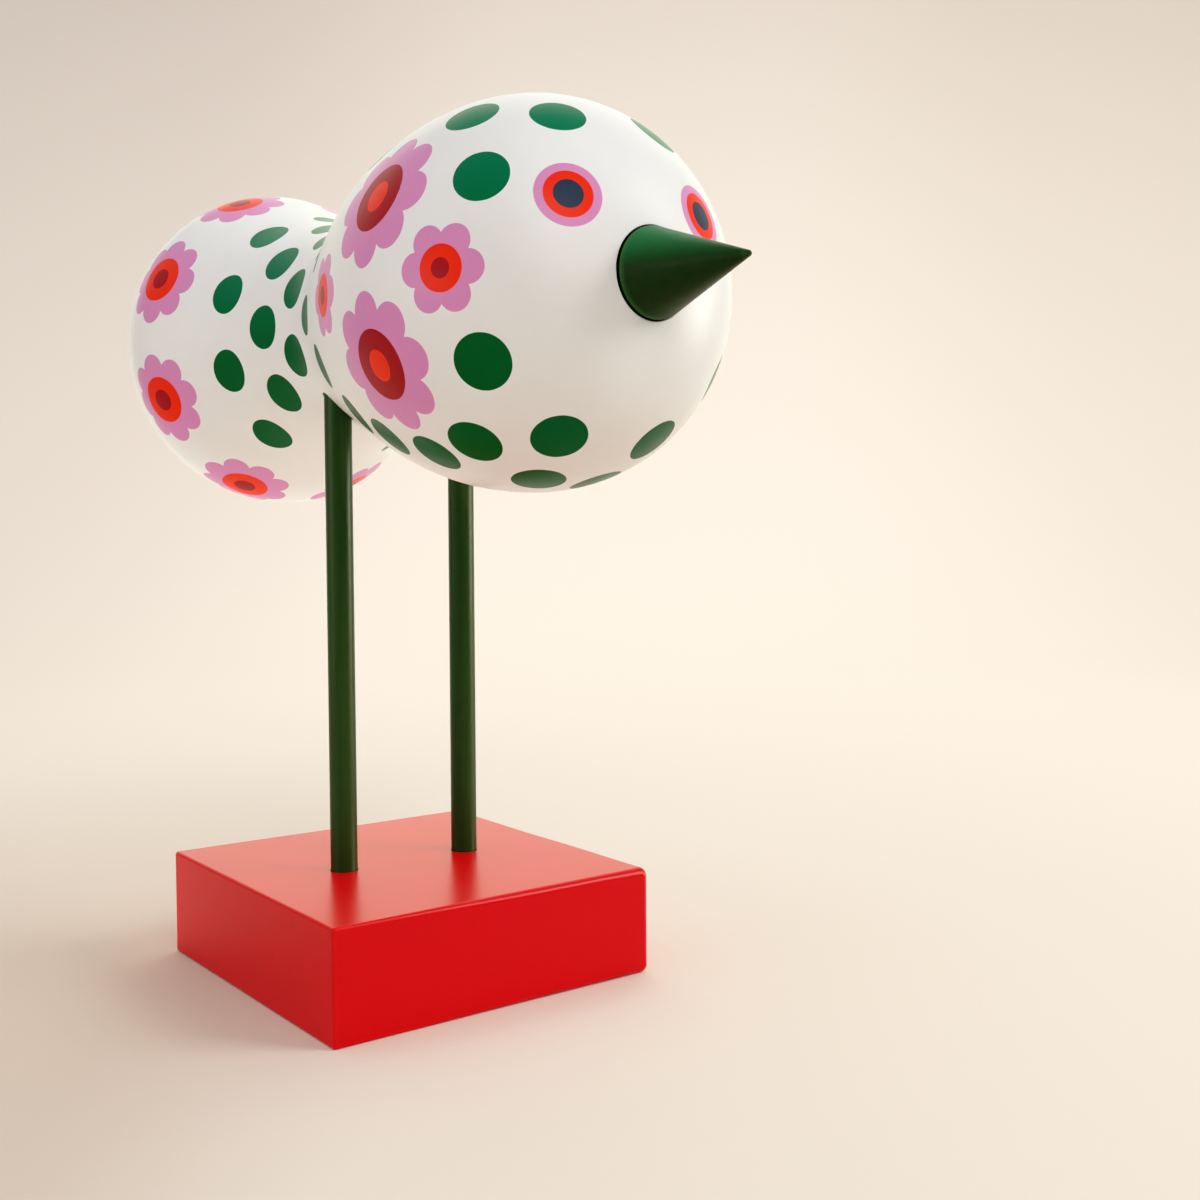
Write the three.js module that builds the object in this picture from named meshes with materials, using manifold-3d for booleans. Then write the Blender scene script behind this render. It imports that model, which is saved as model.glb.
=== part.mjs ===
// Ceramic bird figurine: a white turned body (head, waist and rear in one piece)
// with a green cone for a beak, carried by two green round legs that stand in a
// red square plinth. Millimetres, +Z up, the bird looks along -Y, and the origin
// is at the middle of the plinth's underside.
import * as THREE from 'three';
import { mergeVertices } from 'three/addons/utils/BufferGeometryUtils.js';
import { RoundedBoxGeometry } from 'three/addons/geometries/RoundedBoxGeometry.js';
import Module from 'manifold-3d';

const wasm = await Module();
wasm.setup();

// ---- driving dimensions -----------------------------------------------------
const FIT = 0.3;                  // clearance between two pieces that meet

const PLINTH_X = 100;             // side across the bird
const PLINTH_Y = 103.6;           // side along the bird
const PLINTH_H = 30.4;            // thickness of the block
const PLINTH_EDGE = 1.6;          // rounding of its edges and corners

const LEG_D = 7.6;                // both legs
const LEG_SPREAD = 40;            // between the two leg axes
const LEG_Y = 0;                  // the legs stand on the plinth's middle line
const LEG_SUNK = 12;              // how deep a leg goes into the plinth
const LEG_TOP_Z = 172;            // where a leg ends inside the waist

const AXIS_Z = 184.9;             // height of the body's turning axis
const HEAD_Y = -66.9;             // station of the head's greatest girth
const HEAD_R = 48.3;
const HEAD_FRONT = 48.6;          // from the greatest girth to the face
const HEAD_SQUARE = 2.15;         // 2 = ellipse, more = fuller face
const BODY_SPAN = 142.7;          // from the head's to the rear's greatest girth
const REAR_R = 49.4;
const REAR_BACK = 44.5;           // from the rear's greatest girth to its end
// girths between head and rear: [part of BODY_SPAN, radius]
const WAIST = [[0.17, 45.3], [0.34, 37.2], [0.50, 30.6], [0.66, 33.2], [0.83, 40.8]];

const BEAK_R = 10.4;              // at its root
const BEAK_ROOT_Y = -114.6;
const BEAK_TIP_Y = -146.0;
const BEAK_RIM = 0.7;             // rounding of the root's edge
const BEAK_TIP_R = 0.7;           // blunted point
const BEAK_SEAT_FLOOR = BEAK_ROOT_Y + FIT;

const TURN_STEPS = 72;            // facets round the body
const RED = 0xd2141c, GREEN = 0x2c5a2b, WHITE = 0xefece8;

// ---- small helpers ------------------------------------------------------------
// a closed geometry as a solid; turned inside out first if its volume is negative
function solid(geometry) {
  const g = geometry.clone();
  for (const name of Object.keys(g.attributes)) if (name !== 'position') g.deleteAttribute(name);
  const m = mergeVertices(g, 1e-5);
  const p = m.attributes.position.array;
  const raw = m.index.array;
  const tri = [];
  for (let i = 0; i < raw.length; i += 3) {
    const [a, b, c] = [raw[i], raw[i + 1], raw[i + 2]];
    if (a !== b && b !== c && c !== a) tri.push(a, b, c);
  }
  let volume = 0;
  const v = (k) => new THREE.Vector3(p[3 * k], p[3 * k + 1], p[3 * k + 2]);
  for (let i = 0; i < tri.length; i += 3) {
    volume += v(tri[i]).dot(v(tri[i + 1]).cross(v(tri[i + 2])));
  }
  if (volume < 0) for (let i = 0; i < tri.length; i += 3) [tri[i + 1], tri[i + 2]] = [tri[i + 2], tri[i + 1]];
  return new wasm.Manifold(new wasm.Mesh({
    numProp: 3,
    vertProperties: new Float32Array(p),
    triVerts: new Uint32Array(tri),
  }));
}

function geometryOf(manifold) {
  const m = manifold.getMesh();
  const g = new THREE.BufferGeometry();
  const pos = new Float32Array(m.numVert * 3);
  for (let i = 0; i < m.numVert; i++) for (let k = 0; k < 3; k++) pos[3 * i + k] = m.vertProperties[m.numProp * i + k];
  g.setAttribute('position', new THREE.BufferAttribute(pos, 3));
  g.setIndex(new THREE.BufferAttribute(new Uint32Array(m.triVerts), 1));
  g.computeVertexNormals();
  return g;
}

function piece(name, manifold, colour, roughness) {
  const mesh = new THREE.Mesh(geometryOf(manifold),
    new THREE.MeshStandardMaterial({ color: colour, roughness, metalness: 0 }));
  mesh.name = name;
  return mesh;
}

// upright round bar between two heights
function uprightBar(radius, x, y, z0, z1, steps = 32) {
  const g = new THREE.CylinderGeometry(radius, radius, z1 - z0, steps);
  g.rotateX(Math.PI / 2);
  g.translate(x, y, (z0 + z1) / 2);
  return solid(g);
}

// cubic spline through the stations with level tangents at both ends
function levelSpline(xs, ys) {
  const n = xs.length;
  const a = [], b = [], c = [], d = [];
  for (let i = 0; i < n; i++) {
    if (i === 0 || i === n - 1) { a.push(0); b.push(1); c.push(0); d.push(0); continue; }
    const h0 = xs[i] - xs[i - 1], h1 = xs[i + 1] - xs[i];
    a.push(1 / h0); b.push(2 / h0 + 2 / h1); c.push(1 / h1);
    d.push(3 * ((ys[i] - ys[i - 1]) / h0 ** 2 + (ys[i + 1] - ys[i]) / h1 ** 2));
  }
  for (let i = 1; i < n; i++) {
    const w = a[i] / b[i - 1];
    b[i] -= w * c[i - 1]; d[i] -= w * d[i - 1];
  }
  const slope = new Array(n);
  slope[n - 1] = d[n - 1] / b[n - 1];
  for (let i = n - 2; i >= 0; i--) slope[i] = (d[i] - c[i] * slope[i + 1]) / b[i];
  return (x) => {
    let i = 0;
    while (i < n - 2 && x > xs[i + 1]) i++;
    const h = xs[i + 1] - xs[i], t = (x - xs[i]) / h;
    return ys[i] * (1 + 2 * t) * (1 - t) ** 2 + slope[i] * h * t * (1 - t) ** 2
      + ys[i + 1] * t * t * (3 - 2 * t) + slope[i + 1] * h * t * t * (t - 1);
  };
}

// ---- body: turned about a level axis along Y -----------------------------------
function bodyProfile() {
  const points = [];
  const face = 13, middle = 17, back = 12;
  // from the face's pole back to the head's greatest girth
  for (let i = 0; i <= face; i++) {
    const q = (Math.PI / 2) * (1 - i / face);
    const s = HEAD_FRONT * Math.sin(q) ** (2 / HEAD_SQUARE);
    const r = HEAD_R * Math.cos(q) ** (2 / HEAD_SQUARE);
    points.push(new THREE.Vector2(i === 0 ? 0 : r, HEAD_Y - s));
  }
  // head, waist and rear
  const xs = [0, ...WAIST.map((w) => w[0] * BODY_SPAN), BODY_SPAN];
  const ys = [HEAD_R, ...WAIST.map((w) => w[1]), REAR_R];
  const girth = levelSpline(xs, ys);
  for (let i = 1; i <= middle; i++) {
    const s = (BODY_SPAN * i) / middle;
    points.push(new THREE.Vector2(girth(s), HEAD_Y + s));
  }
  // rounded end of the rear
  for (let i = 1; i <= back; i++) {
    const q = (Math.PI / 2) * (i / back);
    points.push(new THREE.Vector2(i === back ? 0 : REAR_R * Math.cos(q),
      HEAD_Y + BODY_SPAN + REAR_BACK * Math.sin(q)));
  }
  return points;
}

const turned = new THREE.LatheGeometry(bodyProfile(), TURN_STEPS);
turned.translate(0, 0, AXIS_Z);
let body = solid(turned);

// shallow round seat for the beak
const seatBar = new THREE.CylinderGeometry(BEAK_R + FIT, BEAK_R + FIT, 20, 48);
seatBar.translate(0, BEAK_SEAT_FLOOR - 10, AXIS_Z);
body = body.subtract(solid(seatBar));

// a socket for each leg, open at the waist's underside
for (const side of [-1, 1]) {
  body = body.subtract(uprightBar(LEG_D / 2 + FIT, side * LEG_SPREAD / 2, LEG_Y, 110, LEG_TOP_Z + FIT));
}

// ---- beak: a cone turned on the body's axis --------------------------------------
function beakProfile() {
  const length = BEAK_ROOT_Y - BEAK_TIP_Y;
  const half = Math.atan2(BEAK_R, length);
  const points = [new THREE.Vector2(0, 0)];
  const arcs = 4;
  // rounded edge of the root
  for (let i = 0; i <= arcs; i++) {
    const q = -Math.PI / 2 + (Math.PI / 2 + half) * (i / arcs);
    points.push(new THREE.Vector2(BEAK_R - BEAK_RIM + BEAK_RIM * Math.cos(q), BEAK_RIM + BEAK_RIM * Math.sin(q)));
  }
  // blunted point: a small ball inside the cone
  const ball = length - BEAK_TIP_R;
  for (let i = 0; i <= arcs; i++) {
    const q = half + (Math.PI / 2 - half) * (i / arcs);
    points.push(new THREE.Vector2(i === arcs ? 0 : BEAK_TIP_R * Math.cos(q), ball + BEAK_TIP_R * Math.sin(q)));
  }
  return points;
}
const cone = new THREE.LatheGeometry(beakProfile(), 48);
cone.rotateZ(Math.PI);                        // the point looks along -Y
cone.translate(0, BEAK_ROOT_Y, AXIS_Z);
const beak = solid(cone);

// ---- plinth: a block with two blind holes in its top ------------------------------
const block = new RoundedBoxGeometry(PLINTH_X, PLINTH_Y, PLINTH_H, 3, PLINTH_EDGE);
block.translate(0, 0, PLINTH_H / 2);
let plinth = solid(block);
for (const side of [-1, 1]) {
  plinth = plinth.subtract(uprightBar(LEG_D / 2 + FIT, side * LEG_SPREAD / 2, LEG_Y,
    PLINTH_H - LEG_SUNK - FIT, PLINTH_H + 20));
}

// ---- the object --------------------------------------------------------------------
const figurine = new THREE.Group();
figurine.add(piece('plinth', plinth, RED, 0.55));
figurine.add(piece('leg_right', uprightBar(LEG_D / 2, -LEG_SPREAD / 2, LEG_Y, PLINTH_H - LEG_SUNK, LEG_TOP_Z), GREEN, 0.45));
figurine.add(piece('leg_left', uprightBar(LEG_D / 2, LEG_SPREAD / 2, LEG_Y, PLINTH_H - LEG_SUNK, LEG_TOP_Z), GREEN, 0.45));
figurine.add(piece('body', body, WHITE, 0.4));
figurine.add(piece('beak', beak, GREEN, 0.45));

export default figurine;
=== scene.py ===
import math

import bpy
import numpy as np
from mathutils import Matrix, Vector


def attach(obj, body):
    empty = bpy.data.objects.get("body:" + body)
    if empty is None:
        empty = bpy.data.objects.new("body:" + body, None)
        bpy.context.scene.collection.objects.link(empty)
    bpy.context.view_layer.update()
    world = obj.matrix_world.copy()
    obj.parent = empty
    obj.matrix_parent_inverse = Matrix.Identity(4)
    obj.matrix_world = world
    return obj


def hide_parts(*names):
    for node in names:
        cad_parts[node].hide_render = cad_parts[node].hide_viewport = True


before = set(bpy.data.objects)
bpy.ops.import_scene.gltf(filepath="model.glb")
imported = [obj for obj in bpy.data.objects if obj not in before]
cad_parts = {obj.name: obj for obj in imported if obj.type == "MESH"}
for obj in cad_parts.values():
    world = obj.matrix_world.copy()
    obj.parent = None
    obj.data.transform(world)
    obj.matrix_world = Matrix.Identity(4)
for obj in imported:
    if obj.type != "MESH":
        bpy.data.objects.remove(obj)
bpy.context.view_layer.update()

MM = 0.001

# ---- dimensions, as in the CAD -------------------------------------------------
FIT = 0.3
PLINTH = (100.0, 103.6, 30.4)
LEG_R, LEG_X, LEG_SUNK, LEG_TOP_Z = 3.8, 20.0, 12.0, 172.0
AXIS_Z, HEAD_Y = 184.9, -66.9
HEAD_R, HEAD_FRONT, HEAD_SQUARE = 48.3, 48.6, 2.15
BODY_SPAN, REAR_R, REAR_BACK = 142.7, 49.4, 44.5
WAIST = [(0.17, 45.3), (0.34, 37.2), (0.50, 30.6), (0.66, 33.2), (0.83, 40.8)]
BEAK_R, BEAK_ROOT_Y, BEAK_TIP_Y, BEAK_RIM, BEAK_TIP_R = 10.4, -114.6, -146.0, 0.7, 0.7
SEAT_Y = BEAK_ROOT_Y + FIT
HOLE_R = LEG_R + 0.08       # glued joints: the sockets fit closer here than in the CAD


# ---- body profile ----------------------------------------------------------------
def level_spline(xs, ys):
    """Cubic spline through the stations with level tangents at both ends: (value, slope) at x."""
    n = len(xs)
    a = np.zeros((n, n))
    b = np.zeros(n)
    a[0, 0] = a[-1, -1] = 1.0
    for i in range(1, n - 1):
        h0, h1 = xs[i] - xs[i - 1], xs[i + 1] - xs[i]
        a[i, i - 1], a[i, i], a[i, i + 1] = 1 / h0, 2 / h0 + 2 / h1, 1 / h1
        b[i] = 3 * ((ys[i] - ys[i - 1]) / h0**2 + (ys[i + 1] - ys[i]) / h1**2)
    slope = np.linalg.solve(a, b)

    def at(x):
        x = np.asarray(x, float)
        i = np.clip(np.searchsorted(xs, x, side="right") - 1, 0, n - 2)
        x0, h = xs[i], (xs[i + 1] - xs[i])
        t = (x - x0) / h
        y0, y1, m0, m1 = ys[i], ys[i + 1], slope[i], slope[i + 1]
        value = (y0 * (1 + 2 * t) * (1 - t) ** 2 + m0 * h * t * (1 - t) ** 2
                 + y1 * t * t * (3 - 2 * t) + m1 * h * t * t * (t - 1))
        grade = (6 * t * (t - 1) * (y0 - y1) / h + m0 * (1 - 4 * t + 3 * t * t)
                 + m1 * (3 * t * t - 2 * t))
        return value, grade

    return at


_xs = np.array([0.0] + [w[0] * BODY_SPAN for w in WAIST] + [BODY_SPAN])
_ys = np.array([HEAD_R] + [w[1] for w in WAIST] + [REAR_R])
girth = level_spline(_xs, _ys)


def radius_at(s):
    """Body radius and its slope at s millimetres behind the head's greatest girth."""
    s = float(s)
    if s < 0:
        u = min(-s / HEAD_FRONT, 0.999999)
        k = HEAD_SQUARE
        r = HEAD_R * (1 - u**k) ** (1 / k)
        grade = HEAD_R * (1 - u**k) ** (1 / k - 1) * u ** (k - 1) / HEAD_FRONT
        return r, grade
    if s <= BODY_SPAN:
        value, grade = girth(s)
        return float(value), float(grade)
    u = min((s - BODY_SPAN) / REAR_BACK, 0.999999)
    r = REAR_R * math.sqrt(1 - u * u)
    return r, -REAR_R * u / math.sqrt(1 - u * u) / REAR_BACK


def rounded_line(corners, radii, steps=4):
    """A polyline in (r, y) with its corners rounded; returns points and the normals on its outer side."""
    points, normals = [], []

    def add(p, t):
        t = t / np.linalg.norm(t)
        points.append(p)
        normals.append(np.array([t[1], -t[0]]))

    c = [np.array(p, float) for p in corners]
    add(c[0], c[1] - c[0])
    for i in range(1, len(c) - 1):
        a, b = c[i] - c[i - 1], c[i + 1] - c[i]
        la, lb = np.linalg.norm(a), np.linalg.norm(b)
        cut = min(radii[i], 0.49 * la, 0.49 * lb)
        p0, p2 = c[i] - a / la * cut, c[i] + b / lb * cut
        for k in range(steps + 1):
            t = k / steps
            p = (1 - t) ** 2 * p0 + 2 * t * (1 - t) * c[i] + t * t * p2
            add(p, (1 - t) * (c[i] - p0) + t * (p2 - c[i]))
    add(c[-1], c[-1] - c[-2])
    return np.array(points), np.array(normals)


def even(points, count):
    """count + 1 places along a dense polyline, evenly spaced by length, as fractions of its index."""
    step = np.linalg.norm(np.diff(points, axis=0), axis=1)
    along = np.concatenate([[0], np.cumsum(step)])
    return np.interp(np.linspace(0, along[-1], count + 1), along, np.arange(len(points)))


# ---- mesh arrays -------------------------------------------------------------------
class Shell:
    """Collects vertices with their own normals, and faces with a place on the map for each corner."""

    def __init__(self):
        self.points, self.normals, self.faces, self.maps = [], [], [], []

    def add(self, points, normals):
        start = len(self.points)
        self.points.extend(np.asarray(points, float).reshape(-1, 3))
        self.normals.extend(np.asarray(normals, float).reshape(-1, 3))
        return start + np.arange(len(self.points) - start)

    def face(self, ids, uv):
        self.faces.append(list(ids))
        self.maps.append(list(uv))

    def build(self, name):
        p = np.array(self.points)
        n = np.array(self.normals)
        n /= np.maximum(np.linalg.norm(n, axis=1), 1e-12)[:, None]
        faces, maps = [], []
        for ids, uv in zip(self.faces, self.maps):
            keep = [k for k in range(len(ids)) if ids[k] != ids[k - 1]]
            if len(keep) < 3:
                continue
            ids, uv = [ids[k] for k in keep], [uv[k] for k in keep]
            q = p[ids]
            around = np.cross(q[1] - q[0], q[2] - q[0])
            if len(ids) == 4:
                around = around + np.cross(q[2] - q[0], q[3] - q[0])
            if around @ n[ids].sum(0) < 0:
                ids, uv = ids[::-1], uv[::-1]
            faces.append(ids)
            maps.append(uv)
        used = np.zeros(len(p), bool)
        for ids in faces:
            used[ids] = True
        new = np.cumsum(used) - 1
        mesh = bpy.data.meshes.new(name)
        mesh.from_pydata((p[used] * MM).tolist(), [], [[int(new[i]) for i in ids] for ids in faces])
        mesh.polygons.foreach_set("use_smooth", np.ones(len(faces), bool))
        layer = mesh.uv_layers.new(name="OFBake")
        layer.uv.foreach_set("vector", np.array([c for uv in maps for c in uv], np.float32).ravel())
        mesh.normals_split_custom_set_from_vertices(n[used].tolist())
        mesh.validate(clean_customdata=False)
        mesh.update()
        piece = bpy.data.objects.new(name, mesh)
        bpy.context.scene.collection.objects.link(piece)
        return piece


def turn(shell, profile, normals, steps, place, along, v_of):
    """Turns a profile of (radius, height) round an axis. place(r, h, angle) gives the point; a radius of 0 is one pole vertex."""
    angles = 2 * np.pi * np.arange(steps) / steps
    rows = []
    for (r, h), (nr, nh) in zip(profile, normals):
        if r < 1e-9:
            one = shell.add([place(0.0, h, 0.0)], [along * nh])
            rows.append(np.repeat(one, steps))
        else:
            q = np.array([place(r, h, a) for a in angles])
            hub = np.array(place(0.0, h, 0.0))
            out = (q - hub) / r
            rows.append(shell.add(q, out * nr + along * nh))
    for i in range(len(rows) - 1):
        for j in range(steps):
            k = (j + 1) % steps
            u0, u1 = j / steps, (j + 1) / steps
            v0, v1 = v_of[i], v_of[i + 1]
            shell.face([rows[i][j], rows[i][k], rows[i + 1][k], rows[i + 1][j]],
                       [(u0, v0), (u1, v0), (u1, v1), (u0, v1)])
    return np.array(rows)


def open_loop(shell, faces):
    """The edges that only one of the faces has, as a map from each vertex to its neighbours along them."""
    seen = {}
    for ids in faces:
        ids = [ids[k] for k in range(len(ids)) if ids[k] != ids[k - 1]]
        for k in range(len(ids)):
            e = (ids[k - 1], ids[k])
            seen[tuple(sorted(e))] = seen.get(tuple(sorted(e)), 0) + 1
    ends = {}
    for (a, b), count in seen.items():
        if count == 1:
            ends.setdefault(a, []).append(b)
            ends.setdefault(b, []).append(a)
    return ends


def punch(shell, cx, cy, surface, uv_of, wall_uv, z_end, clear, ring_r, lip, inside, steps=64, down=True):
    """Cuts a round upright socket into the shell. surface(x, y) gives height and normal of the skin there.
    Faces of the shell within clear of the axis go; rings on the exact skin, a rounded lip, the wall and the end take their place."""
    points = np.array(shell.points)
    near = (np.hypot(points[:, 0] - cx, points[:, 1] - cy) < clear) & inside(points)
    keep_f, keep_m, gone = [], [], []
    for ids, uv in zip(shell.faces, shell.maps):
        if near[ids].any():
            gone.append(ids)
        else:
            keep_f.append(ids)
            keep_m.append(uv)
    shell.faces, shell.maps = keep_f, keep_m
    ends = open_loop(shell, gone)
    start = min(ends)
    loop, last = [start], None
    while True:
        nxt = [k for k in ends[loop[-1]] if k != last]
        last = loop[-1]
        if nxt[0] == start or (len(loop) > 2 and start in nxt):
            break
        loop.append(nxt[0])
    angle = np.array([math.atan2(points[i, 1] - cy, points[i, 0] - cx) for i in loop])
    order = np.argsort(angle)
    loop, angle = [loop[i] for i in order], angle[order]

    phi = -np.pi + 2 * np.pi * (np.arange(steps) + 0.5) / steps
    cos, sin = np.cos(phi), np.sin(phi)
    rings = []
    radii = list(np.linspace(ring_r, HOLE_R + lip + 0.35, 4)) + [HOLE_R + lip]
    for rho in radii:
        p, n = [], []
        for c, s in zip(cos, sin):
            z, normal = surface(cx + rho * c, cy + rho * s)
            p.append((cx + rho * c, cy + rho * s, z))
            n.append(normal)
        rings.append(shell.add(p, n))
    way = 1.0 if down else -1.0  # the socket runs up from an underside (1) or down from a top (-1)
    edge = np.array([(cx + HOLE_R * c, cy + HOLE_R * s, surface(cx + HOLE_R * c, cy + HOLE_R * s)[0])
                     for c, s in zip(cos, sin)])
    first_p = np.array([shell.points[i] for i in rings[-1]])
    first_n = np.array([shell.normals[i] for i in rings[-1]])
    last_p = edge + np.array([0, 0, way * lip])
    last_n = np.stack([-cos, -sin, np.zeros(steps)], 1)
    bends = 5
    for k in range(1, bends + 1):
        t = k / bends
        p = (1 - t) ** 2 * first_p + 2 * t * (1 - t) * edge + t * t * last_p
        n = (1 - t) * first_n + t * last_n
        rings.append(shell.add(p, n))
    skin = len(rings) - 1
    for share in (0.3, 0.65, 1.0):
        p = last_p.copy()
        p[:, 2] = last_p[:, 2] + (z_end - last_p[:, 2]) * share
        rings.append(shell.add(p, last_n))
    # zipper between the old skin's open loop and the outer ring
    a, b = len(loop), steps
    i = j = 0
    ring = rings[0]
    ang_a = np.concatenate([angle, angle[:1] + 2 * np.pi])
    ang_b = np.concatenate([phi, phi[:1] + 2 * np.pi])

    def uv3(ids):
        return [uv_of(shell.points[k]) for k in ids]

    while i < a or j < b:
        if j >= b or (i < a and ang_a[i + 1] <= ang_b[j + 1]):
            ids = [loop[i], loop[(i + 1) % a], ring[j % b]]
            i += 1
        else:
            ids = [loop[i % a], ring[(j + 1) % b], ring[j]]
            j += 1
        shell.face(ids, uv3(ids))
    for k in range(len(rings) - 1):
        for m in range(steps):
            w = (m + 1) % steps
            ids = [rings[k][m], rings[k][w], rings[k + 1][w], rings[k + 1][m]]
            if k < skin:
                uv = uv3(ids)
            else:
                v0 = (k - skin) / (len(rings) - skin)
                v1 = (k + 1 - skin) / (len(rings) - skin)
                uv = [wall_uv(m / steps, v0), wall_uv((m + 1) / steps, v0),
                      wall_uv((m + 1) / steps, v1), wall_uv(m / steps, v1)]
            shell.face(ids, uv)
    # the flat end, with its own vertices so that its edge stays crisp
    end_n = [(0, 0, -way)] * (steps + 1)
    p = [shell.points[k] for k in rings[-1]] + [np.array([cx, cy, z_end])]
    cap = shell.add(p, end_n)
    v0 = (len(rings) - 1 - skin) / (len(rings) - skin)
    for m in range(steps):
        w = (m + 1) % steps
        shell.face([cap[m], cap[w], cap[-1]],
                   [wall_uv(m / steps, v0), wall_uv((m + 1) / steps, v0), wall_uv((m + 0.5) / steps, 1.0)])
    weld(shell, rings[-1], cap[:-1])


def weld(shell, a, b):
    """Makes the faces that use vertices b use the same-placed vertices a, so that the skin is closed."""
    to = {int(j): int(i) for i, j in zip(a, b)}
    for f in range(len(shell.faces)):
        if any(int(k) in to for k in shell.faces[f]):
            shell.faces[f] = [to.get(int(k), int(k)) for k in shell.faces[f]]


# ---- body -----------------------------------------------------------------------------
BODY_STEPS = 216


def make_body():
    shell = Shell()
    k = 2 / HEAD_SQUARE
    # seat for the beak, a narrow groove round it and the rounded lip of the face
    face_y = lambda r: HEAD_Y - HEAD_FRONT * (1 - (r / HEAD_R) ** HEAD_SQUARE) ** (1 / HEAD_SQUARE)
    lip = BEAK_R + 0.26
    seat, seat_n = rounded_line(
        [(0, SEAT_Y), (5.0, SEAT_Y), (9.75, SEAT_Y), (9.95, SEAT_Y + 0.5), (lip, SEAT_Y + 0.5), (lip, face_y(lip)), (lip + 0.6, face_y(lip + 0.6))],
        [0, 0.1, 0.1, 0.1, 0.15, 0.24, 0], steps=3)
    # dense front, middle and rear of the skin
    q0 = math.acos(((lip + 0.6) / HEAD_R) ** (1 / k))
    q = np.linspace(q0, 0, 3000)
    front = np.stack([HEAD_R * np.cos(q) ** k, HEAD_Y - HEAD_FRONT * np.abs(np.sin(q)) ** k], 1)
    s = np.linspace(0, BODY_SPAN, 3000)
    middle = np.stack([girth(s)[0], HEAD_Y + s], 1)
    q = np.linspace(0, np.pi / 2, 3000)
    rear = np.stack([REAR_R * np.cos(q), HEAD_Y + BODY_SPAN + REAR_BACK * np.sin(q)], 1)
    dense = np.concatenate([front, middle[1:], rear[1:]])
    tangent = np.gradient(dense, axis=0)
    tangent /= np.linalg.norm(tangent, axis=1)[:, None]
    at = even(dense, 212)
    idx = np.arange(len(dense))
    r = np.interp(at, idx, dense[:, 0])
    y = np.interp(at, idx, dense[:, 1])
    tr = np.interp(at, idx, tangent[:, 0])
    ty = np.interp(at, idx, tangent[:, 1])
    r[-1], tr[-1], ty[-1] = 0.0, -1.0, 0.0
    profile = np.concatenate([seat[:-1], np.stack([r, y], 1)])
    normals = np.concatenate([seat_n[:-1], np.stack([ty, -tr], 1)])
    keep = np.concatenate([[True], np.linalg.norm(np.diff(profile, axis=0), axis=1) > 1e-6])
    profile, normals = profile[keep], normals[keep]
    length = np.concatenate([[0], np.cumsum(np.linalg.norm(np.diff(profile, axis=0), axis=1))])
    v_of = 0.004 + 0.946 * length / length[-1]

    # angle 0 is straight down, so the map's seam runs along the underside
    def place(rr, h, a):
        return (rr * math.sin(a), h, AXIS_Z - rr * math.cos(a))

    turn(shell, profile, normals, BODY_STEPS, place, np.array([0.0, 1.0, 0.0]), v_of)

    skin_y, skin_v = profile[len(seat) + 2:, 1], v_of[len(seat) + 2:]

    def surface(x, y):
        rr, grade = radius_at(y - HEAD_Y)
        down = math.sqrt(rr * rr - x * x)
        n = np.array([x, -rr * grade, -down])
        return AXIS_Z - down, n / np.linalg.norm(n)

    def uv_of(p):
        a = math.atan2(p[0], AXIS_Z - p[2]) % (2 * math.pi)
        return (a / (2 * math.pi), float(np.interp(p[1], skin_y, skin_v)))

    for n, side in enumerate((-1, 1)):
        punch(shell, side * LEG_X, 0.0, surface, uv_of,
              lambda u, v, n=n: (0.02 + 0.5 * n + 0.42 * u, 0.962 + 0.032 * v),
              LEG_TOP_Z + FIT, 7.3, 6.4, 0.4, lambda p: p[:, 2] < AXIS_Z)
    return shell.build("bird_body")


# ---- beak ---------------------------------------------------------------------------------
def make_beak():
    shell = Shell()
    length = BEAK_ROOT_Y - BEAK_TIP_Y
    half = math.atan2(BEAK_R, length)
    points, normals = [(0.0, 0.0), (4.0, 0.0), (8.0, 0.0)], [(0, -1.0)] * 3
    for i in range(7):
        q = -math.pi / 2 + (math.pi / 2 + half) * i / 6
        points.append((BEAK_R - BEAK_RIM + BEAK_RIM * math.cos(q), BEAK_RIM + BEAK_RIM * math.sin(q)))
        normals.append((math.cos(q), math.sin(q)))
    a = np.array(points[-1])
    ball = length - BEAK_TIP_R
    b = np.array([BEAK_TIP_R * math.cos(half), ball + BEAK_TIP_R * math.sin(half)])
    for i in range(1, 40):
        t = i / 40
        points.append(tuple(a + (b - a) * t))
        normals.append((math.cos(half), math.sin(half)))
    for i in range(6):
        q = half + (math.pi / 2 - half) * i / 5
        points.append((0.0 if i == 5 else BEAK_TIP_R * math.cos(q), ball + BEAK_TIP_R * math.sin(q)))
        normals.append((math.cos(q), math.sin(q)))
    profile, normals = np.array(points), np.array(normals)
    length_at = np.concatenate([[0], np.cumsum(np.linalg.norm(np.diff(profile, axis=0), axis=1))])
    v_of = 0.01 + 0.98 * length_at / length_at[-1]

    def place(r, h, a):
        return (r * math.sin(a), BEAK_ROOT_Y - h, AXIS_Z - r * math.cos(a))

    turn(shell, profile, normals, 128, place, np.array([0.0, -1.0, 0.0]), v_of)
    return shell.build("bird_beak")


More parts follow.
